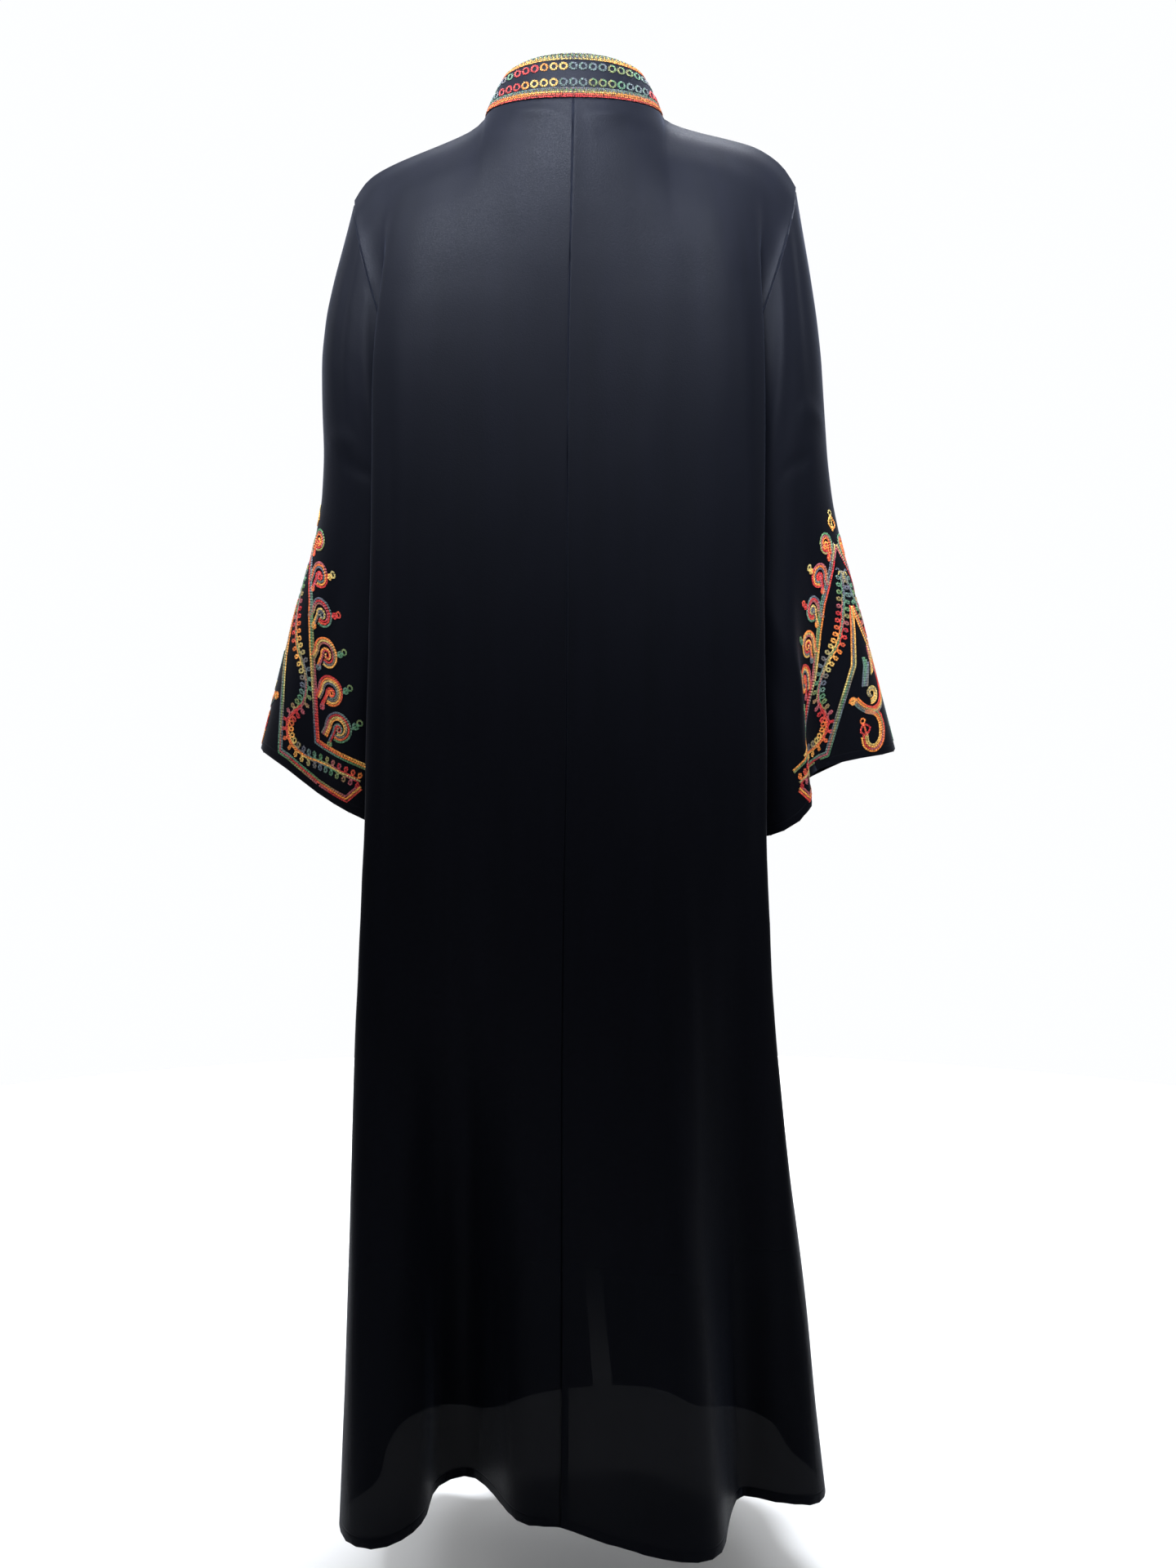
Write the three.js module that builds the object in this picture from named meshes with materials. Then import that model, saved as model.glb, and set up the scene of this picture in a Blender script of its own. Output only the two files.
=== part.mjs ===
// An open-fronted abaya in thin black crepe, as it hangs on a wearer: two back panels joined down the
// middle, two fronts that meet edge to edge, two set-in sleeves that widen to a trumpet cuff, and a
// stand collar band. Millimetres, +Z up, the front faces -Y and the wearer's left is +X. The origin is
// between the points where the shoulder seams meet the collar, which is where the wearer carries it.
// The wearer isn't part of it: every piece is a thin wall round an open hollow.

import * as THREE from "three";

const { lerp, smoothstep, clamp, euclideanModulo } = THREE.MathUtils;

// ---------------------------------------------------------------- driving sizes

const CREPE = 1.2; // wall of the body and sleeves
const BAND = 2.4; // wall of the interfaced collar band
const SEAM = 0.3; // gap between two sewn pieces
const UNDERARM = 300; // how far the underarm lies below the neck point
const HEM = 1408; // and the hem

// The neck opening, by its half-width at the shoulder seams and its reach and drop behind and before.
// sway is how far it sits towards the wearer's left.
const NECK = { side: 93, back: 58, front: 80, backDrop: 6, frontDrop: 64, sway: 2 };

// The collar band's upper edge, in the same way. The band leans in towards the neck, and it is tallest
// behind.
const COLLAR = { side: 73, back: 44, front: 60, height: 40, backHeight: 52, bulge: 2 };

// The shoulder seams, from the collar to the sleeve head. out is sideways, down is below the neck point.
// The wearer's right shoulder is carried a little higher.
const LEFT_SHOULDER = [
  { out: 95, down: 0 },
  { out: 108, down: 12 },
  { out: 128, down: 22 },
  { out: 150, down: 31 },
  { out: 184, down: 45 },
  { out: 216, down: 63 },
  { out: 232, down: 86 },
];
const RIGHT_SHOULDER = [
  { out: 91, down: 0 },
  { out: 104, down: 7 },
  { out: 128, down: 14 },
  { out: 158, down: 21 },
  { out: 190, down: 31 },
  { out: 216, down: 49 },
  { out: 231, down: 72 },
];

// How each panel leaves its top edge, from the middle (0) past the neck point (0.4) to the sleeve head
// (1): the pull away from the edge, and the pull down.
const BACK_YOKE = [
  { place: 0, away: 66, down: 190 },
  { place: 0.22, away: 110, down: 165 },
  { place: 0.4, away: 225, down: 85 },
  { place: 0.6, away: 215, down: 75 },
  { place: 0.82, away: 165, down: 90 },
  { place: 1, away: 129, down: 105 },
];
const FRONT_YOKE = [
  { place: 0, away: 60, down: 190 },
  { place: 0.22, away: 95, down: 170 },
  { place: 0.4, away: 190, down: 105 },
  { place: 0.6, away: 185, down: 95 },
  { place: 0.82, away: 150, down: 98 },
  { place: 1, away: 129, down: 105 },
];

// The body below the underarm, before it falls into folds. half is the half-width of the back, which
// hangs like a curtain past the side seam; side is the half-width at the side seam, where the sleeve
// presses it in; back and front are how far the cloth stands behind and before the shoulder line, and
// sway is how far the whole hangs towards the wearer's left.
const SECTIONS = [
  { down: 300, half: 210, side: 160, back: 74, front: 128, sway: 7 },
  { down: 500, half: 210, side: 156, back: 74, front: 120, sway: 8 },
  { down: 700, half: 215, side: 158, back: 77, front: 122, sway: 9 },
  { down: 800, half: 219, side: 176, back: 82, front: 128, sway: 11 },
  { down: 950, half: 223, side: 206, back: 92, front: 141, sway: 10 },
  { down: 1100, half: 228, side: 219, back: 105, front: 156, sway: 6 },
  { down: 1250, half: 231, side: 227, back: 120, front: 171, sway: 1 },
  { down: 1408, half: 236, side: 236, back: 135, front: 186, sway: -4 },
];
const SQUARE_BACK = 5; // how square the back's outline is: 2 is an ellipse
const SQUARE_FRONT = 2.7;
const TUCK = { from: 0.72, to: 0.28 }; // the side tucks in between these shares of the back's reach

// The crests and troughs of the hem, seen from above. u runs once round from the middle of the back
// past the wearer's left side (0.25), the front opening (0.5) and the right side (0.75); x and y are
// where the hem lies, and start is how far down the fold begins.
const FOLDS = [
  { name: "back seam", u: 0.0, x: 18, y: 127, start: 800 },
  { name: "left inner crest", u: 0.017, x: 44, y: 126, start: 700 },
  { name: "left inner turn", u: 0.033, x: 65, y: 109, start: 700 },
  { name: "left trough side", u: 0.06, x: 86, y: 63, start: 640 },
  { name: "left trough", u: 0.086, x: 113, y: 22, start: 620 },
  { name: "left trough end", u: 0.111, x: 144, y: 46, start: 620 },
  { name: "left crest side", u: 0.145, x: 149, y: 111, start: 640 },
  { name: "left crest slope", u: 0.168, x: 164, y: 147, start: 640 },
  { name: "left crest", u: 0.186, x: 187, y: 167, start: 640 },
  { name: "left crest top", u: 0.204, x: 214, y: 160, start: 640 },
  { name: "left crest edge", u: 0.226, x: 231, y: 124, start: 640 },
  { name: "left side seam", u: 0.25, x: 230, y: 82, start: 700 },
  { name: "left side hollow", u: 0.284, x: 206, y: 34, start: 700 },
  { name: "left side front", u: 0.318, x: 208, y: -30, start: 700 },
  { name: "front left crest", u: 0.356, x: 196, y: -112, start: 640 },
  { name: "front left turn", u: 0.388, x: 150, y: -152, start: 640 },
  { name: "front left trough", u: 0.42, x: 104, y: -134, start: 640 },
  { name: "front left roll", u: 0.455, x: 50, y: -178, start: 700 },
  { name: "front opening", u: 0.5, x: -26, y: -200, start: 760 },
  { name: "front right roll", u: 0.54, x: -92, y: -192, start: 700 },
  { name: "front right trough", u: 0.585, x: -136, y: -140, start: 640 },
  { name: "front right turn", u: 0.622, x: -178, y: -144, start: 640 },
  { name: "front right crest", u: 0.66, x: -214, y: -106, start: 640 },
  { name: "right side front", u: 0.705, x: -224, y: -38, start: 700 },
  { name: "right side seam", u: 0.75, x: -247, y: 24, start: 700 },
  { name: "right side crest", u: 0.78, x: -246, y: 68, start: 660 },
  { name: "right side turn", u: 0.802, x: -227, y: 86, start: 660 },
  { name: "right side hollow", u: 0.821, x: -192, y: 78, start: 650 },
  { name: "right trough", u: 0.841, x: -163, y: 63, start: 640 },
  { name: "right crest side", u: 0.87, x: -146, y: 112, start: 640 },
  { name: "right crest", u: 0.902, x: -133, y: 175, start: 640 },
  { name: "right crest top", u: 0.92, x: -110, y: 190, start: 640 },
  { name: "right crest slope", u: 0.943, x: -73, y: 181, start: 700 },
  { name: "right seam slope", u: 0.968, x: -30, y: 159, start: 760 },
];
const FOLD_GROWTH = 1.35; // a fold deepens by this power of its length

// The fronts part below the collar hook.
const OPENING = { collar: 3, underarm: 5, hem: 18 };

// How the back armhole arrives at the underarm.
const UNDERARM_PULL = { side: -45, back: -180, down: -30 };

// Sections of each sleeve round the arm, down to the elbow. outer and inner are how far below the neck
// point its outer and inner lines pass; out and back place its middle; wide and deep are its half-widths.
const LEFT_ARM = [
  { outer: 225, inner: 345, out: 218, back: -6, wide: 46, deep: 48 },
  { outer: 400, inner: 440, out: 219, back: -14, wide: 49, deep: 48 },
];
const RIGHT_ARM = [
  { outer: 225, inner: 345, out: 212, back: -6, wide: 43, deep: 48 },
  { outer: 400, inner: 440, out: 220, back: -14, wide: 51, deep: 48 },
];

// The hem of each trumpet cuff. round runs once round from the outer line (0) past the back (0.25), the
// line beside the body (0.5) and the front (0.75); out and back place the hem, down is below the neck
// point. The right cuff breaks into a pleat behind the outer line.
const LEFT_CUFF = [
  { name: "outer line", round: 0.0, out: 340, back: -62, down: 656 },
  { name: "outer corner", round: 0.07, out: 335, back: -24, down: 661 },
  { name: "back slope", round: 0.14, out: 304, back: 0, down: 679 },
  { name: "back hollow", round: 0.21, out: 270, back: 8, down: 705 },
  { name: "back crest", round: 0.28, out: 237, back: 22, down: 724 },
  { name: "inner back", round: 0.36, out: 205, back: 12, down: 739 },
  { name: "beside the body", round: 0.48, out: 188, back: -26, down: 746 },
  { name: "inner front", round: 0.6, out: 200, back: -80, down: 734 },
  { name: "front crest", round: 0.7, out: 242, back: -118, down: 706 },
  { name: "front hollow", round: 0.8, out: 282, back: -112, down: 680 },
  { name: "outer front", round: 0.91, out: 326, back: -106, down: 660 },
];
const RIGHT_CUFF = [
  { name: "outer line", round: 0.0, out: 352, back: -84, down: 656 },
  { name: "outer corner", round: 0.05, out: 345, back: -58, down: 662 },
  { name: "back slope", round: 0.11, out: 306, back: -42, down: 668 },
  { name: "pleat hollow", round: 0.18, out: 258, back: -34, down: 680 },
  { name: "pleat turn", round: 0.23, out: 237, back: -12, down: 698 },
  { name: "pleat edge", round: 0.28, out: 249, back: 22, down: 716 },
  { name: "back crest", round: 0.33, out: 226, back: 30, down: 738 },
  { name: "inner back", round: 0.4, out: 199, back: 14, down: 750 },
  { name: "beside the body", round: 0.5, out: 186, back: -28, down: 748 },
  { name: "inner front", round: 0.62, out: 198, back: -86, down: 730 },
  { name: "front crest", round: 0.72, out: 240, back: -128, down: 702 },
  { name: "front hollow", round: 0.82, out: 284, back: -118, down: 678 },
  { name: "outer front", round: 0.92, out: 328, back: -118, down: 660 },
];

const SLEEVES = {
  left: { arm: LEFT_ARM, cuff: LEFT_CUFF },
  right: { arm: RIGHT_ARM, cuff: RIGHT_CUFF },
};

// How finely each piece is divided.
const BACK_COLUMNS = 25;
const FRONT_COLUMNS = 20;
const YOKE_ROWS = 7; // above the underarm
const SKIRT_ROWS = 16; // below it
const SLEEVE_COLUMNS = 4 * YOKE_ROWS;
const SLEEVE_ROWS = 14;
const COLLAR_ROWS = 3;

// ---------------------------------------------------------------- helpers

const vector = (x, y, z) => new THREE.Vector3(x, y, z);
const STEP = 1e-3; // for slopes taken by difference

// The value at a place along a row of keys, on a smooth curve through the values. A period closes it.
function curveAt(keys, values, place, period = 0) {
  const count = keys.length;
  const last = count - 1;
  const wrap = (i) => (period ? euclideanModulo(i, count) : clamp(i, 0, last));
  const key = (i) => (period ? keys[wrap(i)] + period * Math.floor(i / count) : keys[wrap(i)]);
  const value = (i) => values[wrap(i)];
  let i = 0;
  while (i < (period ? last : last - 1) && key(i + 1) <= place) i++;
  const span = key(i + 1) - key(i);
  const slope = (j) => (value(j + 1) - value(j - 1)) / (key(j + 1) - key(j - 1));
  const t = (place - key(i)) / span;
  const eased = t * t * (3 - 2 * t);
  const leave = t * (1 - t) * (1 - t) * span * slope(i);
  const arrive = t * t * (t - 1) * span * slope(i + 1);
  return lerp(value(i), value(i + 1), eased) + leave + arrive;
}

const columnAt = (table, key, column, place) =>
  curveAt(table.map((row) => row[key]), table.map((row) => row[column]), place);

// A point on a path that leaves one point and reaches another along the given directions.
function bridge(from, to, leaving, arriving, t) {
  const s = 1 - t;
  return vector(0, 0, 0)
    .addScaledVector(from, s * s * (1 + 2 * t))
    .addScaledVector(to, t * t * (3 - 2 * t))
    .addScaledVector(leaving, s * s * t)
    .addScaledVector(arriving, -t * t * s);
}

const evenly = (count, from = 0, to = 1) =>
  Array.from({ length: count + 1 }, (_, i) => lerp(from, to, i / count));

// ---------------------------------------------------------------- the body's surface

// A quarter of a section's outline, from the middle to the side seam.
function quarterOutline(down, face) {
  const part = (column) => columnAt(SECTIONS, "down", column, down);
  const side = part("side");
  const half = face === "back" ? Math.max(part("half"), side) : side;
  const reach = part(face);
  const power = 2 / (face === "back" ? SQUARE_BACK : SQUARE_FRONT);
  const points = [];
  for (let i = 0; i <= 60; i++) {
    const angle = ((i / 60) * Math.PI) / 2;
    const y = reach * Math.cos(angle) ** power;
    const tucked = (half - side) * (1 - smoothstep(y, TUCK.to * reach, TUCK.from * reach));
    points.push(new THREE.Vector2(half * Math.sin(angle) ** power - tucked, y));
  }
  points[60].y = 0;
  return new THREE.SplineCurve(points);
}

const rings = new Map();

// One level of the body: its two quarter outlines, and how far each fold has moved the cloth there.
function ringAt(down) {
  if (!rings.has(down)) {
    const ring = { back: quarterOutline(down, "back"), front: quarterOutline(down, "front") };
    ring.sway = columnAt(SECTIONS, "down", "sway", down);
    rings.set(down, ring);
    const hem = down === HEM ? ring : ringAt(HEM);
    const shifts = FOLDS.map(({ u, x, y, start }) => {
      const plain = unfolded(hem, u);
      const grown = clamp((down - start) / (HEM - start), 0, 1) ** FOLD_GROWTH;
      return { x: (x - plain.x) * grown, y: (y - plain.y) * grown };
    });
    ring.shiftX = shifts.map((shift) => shift.x);
    ring.shiftY = shifts.map((shift) => shift.y);
  }
  return rings.get(down);
}

// The outline before it falls into folds, without its sway.
function unfolded(ring, u) {
  const turn = euclideanModulo(u, 1) * 4;
  const isBack = turn < 1 || turn > 3;
  const share = isBack ? Math.min(turn, 4 - turn) : Math.abs(2 - turn);
  const point = (isBack ? ring.back : ring.front).getPointAt(clamp(share, 0, 1));
  return { x: turn < 2 ? point.x : -point.x, y: isBack ? point.y : -point.y };
}

const FOLD_PLACES = FOLDS.map((fold) => fold.u);

function skirtPoint(u, down) {
  const ring = ringAt(down);
  const plain = unfolded(ring, u);
  const place = euclideanModulo(u, 1);
  const x = plain.x + ring.sway + curveAt(FOLD_PLACES, ring.shiftX, place, 1);
  const y = plain.y + curveAt(FOLD_PLACES, ring.shiftY, place, 1);
  return vector(x, y, -down);
}

const seamLine = (rows) =>
  new THREE.SplineCurve(rows.map(({ out, down }) => new THREE.Vector2(out, -down)));
const shoulderSeam = { left: seamLine(LEFT_SHOULDER), right: seamLine(RIGHT_SHOULDER) };
const wayOf = (sideName) => (sideName === "left" ? 1 : -1);

// The neckline, from the middle (0) to the shoulder seam (1).
function necklinePoint(sideName, face, share) {
  const angle = (share * Math.PI) / 2;
  const isBack = face === "back";
  const drop = isBack ? NECK.backDrop : NECK.frontDrop;
  const y = (isBack ? NECK.back : -NECK.front) * Math.cos(angle);
  const x = NECK.sway + wayOf(sideName) * NECK.side * Math.sin(angle);
  return vector(x, y, -drop * Math.cos(angle) ** 2);
}

const NECK_SHARE = 0.4; // of a panel's top edge

// The top edge of a panel: the neckline, then the shoulder seam.
function topPoint(sideName, face, q) {
  if (q < NECK_SHARE) return necklinePoint(sideName, face, q / NECK_SHARE);
  const along = clamp((q - NECK_SHARE) / (1 - NECK_SHARE), 0, 1);
  const point = shoulderSeam[sideName].getPointAt(along);
  return vector(wayOf(sideName) * point.x, 0, point.y);
}

// Where the panel's column q lies on the ring u, which goes once round the body.
function ringPlace(sideName, face, q) {
  return face === "back" ? (wayOf(sideName) * q) / 4 : 0.5 - (wayOf(sideName) * q) / 4;
}

// A panel above the underarm. t runs down from the top edge to the underarm.
function yokePoint(sideName, face, q, t) {
  const way = face === "back" ? 1 : -1;
  const side = wayOf(sideName);
  const top = topPoint(sideName, face, q);
  const low = skirtPoint(ringPlace(sideName, face, q), UNDERARM);
  const yoke = face === "back" ? BACK_YOKE : FRONT_YOKE;
  const pull = (column) => columnAt(yoke, "place", column, q);
  const leaving = vector(0, way * pull("away"), -pull("down"));
  const atSide = smoothstep(q, 0.78, 1);
  const arriving = vector(
    side * UNDERARM_PULL.side * atSide,
    way * UNDERARM_PULL.back * atSide,
    lerp(-250, UNDERARM_PULL.down, atSide),
  );
  return bridge(top, low, leaving, arriving, t);
}

// A point of the body. q runs from the middle seam (0) to the side (1); level runs from the top edge
// (-1) to the underarm (0) and on to the hem (1).
function bodyPoint(sideName, face, q, level) {
  if (level >= 0) {
    const down = Math.round(lerp(UNDERARM, HEM, level) * 1e3) / 1e3;
    return skirtPoint(ringPlace(sideName, face, q), down);
  }
  if (q >= 0) return yokePoint(sideName, face, Math.min(q, 1), Math.max(level + 1, 0));
  return bodyPoint(sideName === "left" ? "right" : "left", face, -q, level);
}

// The way out of the cloth. On the shoulder seam both panels share one.
function bodyNormal(sideName, face, q, level) {
  const side = wayOf(sideName);
  if (level === -1 && q >= NECK_SHARE) {
    const from = topPoint(sideName, face, Math.max(q - STEP, NECK_SHARE));
    const along = topPoint(sideName, face, Math.min(q + STEP, 1)).sub(from);
    return vector(-side * along.z, 0, side * along.x).normalize();
  }
  const at = (dq, dLevel) => bodyPoint(sideName, face, q + dq, clamp(level + dLevel, -1, 1));
  const across = at(STEP, 0).sub(at(-STEP, 0));
  const down = at(0, STEP).sub(at(0, -STEP));
  return across.cross(down).multiplyScalar(side * (face === "back" ? 1 : -1)).normalize();
}

// ---------------------------------------------------------------- walls

// A closed wall of cloth. Each place of the grid holds a point and the way out of the cloth there, and
// the wall lies inside it. A looped grid joins its last column to its first.
function clothWall(grid, thickness, looped = false) {
  const rows = grid.length;
  const columns = grid[0].length;
  const positions = [];
  for (const depth of [0, thickness]) {
    for (const { point, normal } of grid.flat()) {
      positions.push(...point.clone().addScaledVector(normal, -depth).toArray());
    }
  }
  const outer = (r, c) => r * columns + (c % columns);
  const inner = (r, c) => rows * columns + outer(r, c);
  const index = [];
  const quad = (a, b, c, d) => index.push(a, b, c, a, c, d);
  const steps = looped ? columns : columns - 1;
  for (let r = 0; r < rows - 1; r++) {
    for (let c = 0; c < steps; c++) {
      quad(outer(r, c), outer(r + 1, c), outer(r + 1, c + 1), outer(r, c + 1));
      quad(inner(r, c), inner(r, c + 1), inner(r + 1, c + 1), inner(r + 1, c));
    }
  }
  for (let c = 0; c < steps; c++) {
    quad(outer(0, c), outer(0, c + 1), inner(0, c + 1), inner(0, c));
    quad(outer(rows - 1, c + 1), outer(rows - 1, c), inner(rows - 1, c), inner(rows - 1, c + 1));
  }
  for (let r = 0; !looped && r < rows - 1; r++) {
    quad(outer(r + 1, 0), outer(r, 0), inner(r, 0), inner(r + 1, 0));
    quad(outer(r, steps), outer(r + 1, steps), inner(r + 1, steps), inner(r, steps));
  }
  const geometry = new THREE.BufferGeometry();
  geometry.setAttribute("position", new THREE.Float32BufferAttribute(positions, 3));
  geometry.setIndex(facingOut(positions, index));
  geometry.computeVertexNormals();
  return geometry;
}

// The triangles, turned round if together they enclose less than nothing.
function facingOut(positions, index) {
  const corner = (i) => vector(...positions.slice(3 * index[i], 3 * index[i] + 3));
  let volume = 0;
  for (let i = 0; i < index.length; i += 3) {
    volume += corner(i).dot(corner(i + 1).cross(corner(i + 2)));
  }
  return volume > 0 ? index : index.reverse();
}

// ---------------------------------------------------------------- the pieces

// Half the gap beside a panel's edge, as a share of the panel's width.
const PANEL_WIDTH = 330;
const SEAM_SHARE = SEAM / 2 / PANEL_WIDTH;

function openingShare(level) {
  const { collar, underarm, hem } = OPENING;
  const gap = level < 0 ? lerp(underarm, collar, -level) : lerp(underarm, hem, level);
  return gap / 2 / PANEL_WIDTH;
}

function panel(sideName, face) {
  const isBack = face === "back";
  const levels = [...evenly(YOKE_ROWS, -1, 0), ...evenly(SKIRT_ROWS).slice(1)];
  const grid = levels.map((level) =>
    evenly(isBack ? BACK_COLUMNS : FRONT_COLUMNS).map((share) => {
      const middle = share === 0 ? (isBack ? SEAM_SHARE : openingShare(level)) : 0;
      const q = share + middle - (share === 1 ? SEAM_SHARE : 0);
      const point = bodyPoint(sideName, face, q, level);
      if (level === -1 && q >= NECK_SHARE) point.y = (isBack ? SEAM : -SEAM) / 2;
      return { point, normal: bodyNormal(sideName, face, q, level) };
    }),
  );
  return clothWall(grid, CREPE);
}

// The armhole, from the shoulder (0) round the back to the underarm (0.5) and up the front (1), with the
// way out of the cloth. It runs straight between the rows of the panels.
function armhole(sideName, round) {
  const face = round <= 0.5 ? "back" : "front";
  const place = (round <= 0.5 ? round * 2 : 2 - round * 2) * YOKE_ROWS;
  const row = Math.min(Math.floor(place), YOKE_ROWS - 1);
  const mix = (at) => at(row / YOKE_ROWS - 1).lerp(at((row + 1) / YOKE_ROWS - 1), place - row);
  return {
    point: mix((level) => bodyPoint(sideName, face, 1, level)),
    normal: mix((level) => bodyNormal(sideName, face, 1 - SEAM_SHARE, level)).normalize(),
  };
}

function armSection(side, { outer, inner, out, back, wide, deep }, round) {
  const angle = round * 2 * Math.PI;
  const x = side * (out + wide * Math.cos(angle));
  return vector(x, back + deep * Math.sin(angle), -lerp(inner, outer, (1 + Math.cos(angle)) / 2));
}

function cuffPoint(side, cuff, round) {
  const [out, back, down] = ["out", "back", "down"].map((column) =>
    curveAt(cuff.map((row) => row.round), cuff.map((row) => row[column]), round, 1),
  );
  return vector(side * out, back, -down);
}

// A line down the sleeve, from the armhole to the cuff. From the elbow it flares straight out.
function sleeveLine(sideName, round) {
  const side = wayOf(sideName);
  const { arm, cuff } = SLEEVES[sideName];
  const sections = arm.map((section) => armSection(side, section, round));
  const hem = cuffPoint(side, cuff, round);
  const halfway = sections.at(-1).clone().lerp(hem, 0.5);
  return new THREE.CatmullRomCurve3([armhole(sideName, round).point, ...sections, halfway, hem]);
}

function sleeve(sideName) {
  const at = (round, share) =>
    sleeveLine(sideName, euclideanModulo(round, 1)).getPoint(clamp(share, 0, 1));
  const rounds = evenly(SLEEVE_COLUMNS).slice(0, -1);
  const grid = evenly(SLEEVE_ROWS).map((share) =>
    rounds.map((round) => {
      if (share === 0) {
        const { point, normal } = armhole(sideName, round);
        point.add(at(round, STEP).sub(point).setLength(SEAM));
        return { point, normal };
      }
      const across = at(round + STEP, share).sub(at(round - STEP, share));
      const down = at(round, share + STEP).sub(at(round, share - STEP));
      const normal = down.cross(across).multiplyScalar(wayOf(sideName)).normalize();
      return { point: at(round, share), normal };
    }),
  );
  return clothWall(grid, CREPE, true);
}

// A point of the collar band, above a place of the neckline. share runs up the band.
function collarPoint(sideName, face, along, share) {
  const low = necklinePoint(sideName, face, along);
  const angle = (along * Math.PI) / 2;
  const isBack = face === "back";
  const reach = (isBack ? COLLAR.back : -COLLAR.front) * Math.cos(angle);
  const out = wayOf(sideName) * Math.sin(angle);
  const taller = isBack ? (COLLAR.backHeight - COLLAR.height) * Math.cos(angle) ** 2 : 0;
  const belly = COLLAR.bulge * Math.sin(Math.PI * share);
  const x = lerp(low.x, NECK.sway + COLLAR.side * out, share) + belly * out;
  const y = lerp(low.y, reach, share) + (belly * reach) / COLLAR.side;
  return vector(x, y, low.z + SEAM + (COLLAR.height + taller) * share);
}

// The collar band. Its columns stand on those of the panels, so the two meet without a step.
function collarBand() {
  const end = openingShare(-1) / NECK_SHARE;
  const quarter = (sideName, face, columns) =>
    evenly(columns * NECK_SHARE).map((along) => ({
      sideName,
      face,
      along: face === "front" ? Math.max(along, end) : along,
    }));
  const left = [
    ...quarter("left", "back", BACK_COLUMNS),
    ...quarter("left", "front", FRONT_COLUMNS).reverse().slice(1),
  ];
  const right = left.map((place) => ({ ...place, sideName: "right" }));
  const places = [...right.reverse().slice(0, -1), ...left];
  const grid = evenly(COLLAR_ROWS).map((share) => {
    const points = places.map(({ sideName, face, along }) =>
      collarPoint(sideName, face, along, share),
    );
    return points.map((point, i) => {
      const next = points[Math.min(i + 1, points.length - 1)];
      const across = next.clone().sub(points[Math.max(i - 1, 0)]);
      return { point, normal: vector(across.y, -across.x, 0).negate().normalize() };
    });
  });
  return clothWall(grid, BAND);
}

// ---------------------------------------------------------------- the scene graph

const crepe = new THREE.MeshStandardMaterial({ color: 0x17181c, roughness: 0.8, metalness: 0 });
crepe.side = THREE.DoubleSide;
const bandCloth = new THREE.MeshStandardMaterial({ color: 0x1c1d22, roughness: 0.9, metalness: 0 });

const abaya = new THREE.Group();
abaya.name = "abaya";

function addPiece(name, geometry, material) {
  const piece = new THREE.Mesh(geometry, material);
  piece.name = name;
  abaya.add(piece);
}

for (const sideName of ["left", "right"]) {
  addPiece(`back_${sideName}`, panel(sideName, "back"), crepe);
  addPiece(`front_${sideName}`, panel(sideName, "front"), crepe);
  addPiece(`sleeve_${sideName}`, sleeve(sideName), crepe);
}
addPiece("collar_band", collarBand(), bandCloth);

export default abaya;
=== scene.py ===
# %% [markdown]
# # A worn abaya in black crepe
# This lesson dresses a plain solid model of an abaya, a long open-fronted robe. The solids give the cut:
# two back panels, two fronts, two set-in sleeves and a stand collar. Here each one becomes cloth, with
# small folds, turned-in seams, stitched hems and cord embroidery on the collar and the cuffs.

# %% Load the solid model
import math

import bmesh
import bpy
from mathutils import Matrix, Vector, noise
from mathutils.bvhtree import BVHTree
from mathutils.kdtree import KDTree


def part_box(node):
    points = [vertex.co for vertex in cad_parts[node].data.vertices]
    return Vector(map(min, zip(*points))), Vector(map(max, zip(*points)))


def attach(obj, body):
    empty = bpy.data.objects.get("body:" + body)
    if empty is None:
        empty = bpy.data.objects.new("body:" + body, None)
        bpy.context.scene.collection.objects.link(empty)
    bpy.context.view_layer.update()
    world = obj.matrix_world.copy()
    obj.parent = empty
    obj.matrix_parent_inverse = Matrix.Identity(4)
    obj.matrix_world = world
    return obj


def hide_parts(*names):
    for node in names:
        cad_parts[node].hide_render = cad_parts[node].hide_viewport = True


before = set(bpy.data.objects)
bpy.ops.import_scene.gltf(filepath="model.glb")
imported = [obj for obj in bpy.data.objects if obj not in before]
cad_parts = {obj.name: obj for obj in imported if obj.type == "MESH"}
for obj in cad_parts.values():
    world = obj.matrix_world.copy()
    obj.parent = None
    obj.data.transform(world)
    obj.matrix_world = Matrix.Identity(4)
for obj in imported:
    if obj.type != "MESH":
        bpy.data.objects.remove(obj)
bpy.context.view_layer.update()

MM = 0.001
print("solid pieces:", ", ".join(sorted(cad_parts)))

# %% [markdown]
# ## The camera
# The robe is seen from behind, at the height of the hips and from quite near, so its hem is seen from
# above and its collar from below. The lens is set by the sensor's longer side, which is upright here.

# %% The camera
camera_data = bpy.data.cameras.new("camera")
camera_data.lens = 32.925  # mm
camera_data.sensor_width = 36.0
camera = bpy.data.objects.new("camera", camera_data)
camera.location = (-0.0128, 1.5, -0.696)
camera.rotation_euler = (math.radians(90), 0, math.radians(180))
bpy.context.scene.collection.objects.link(camera)
bpy.context.scene.camera = camera

# %% [markdown]
# ## Helpers for materials
# Colours are written as they look on a screen, in sRGB hex, and one function turns them into the linear
# values that the renderer mixes. One function adds any shader node with its settings and its links.


# %% Colour and node helpers
def linear(code):
    channels = [int(code[i : i + 2], 16) / 255 for i in (1, 3, 5)]
    return tuple(c / 12.92 if c <= 0.04045 else ((c + 0.055) / 1.055) ** 2.4 for c in channels) + (1,)


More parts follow.
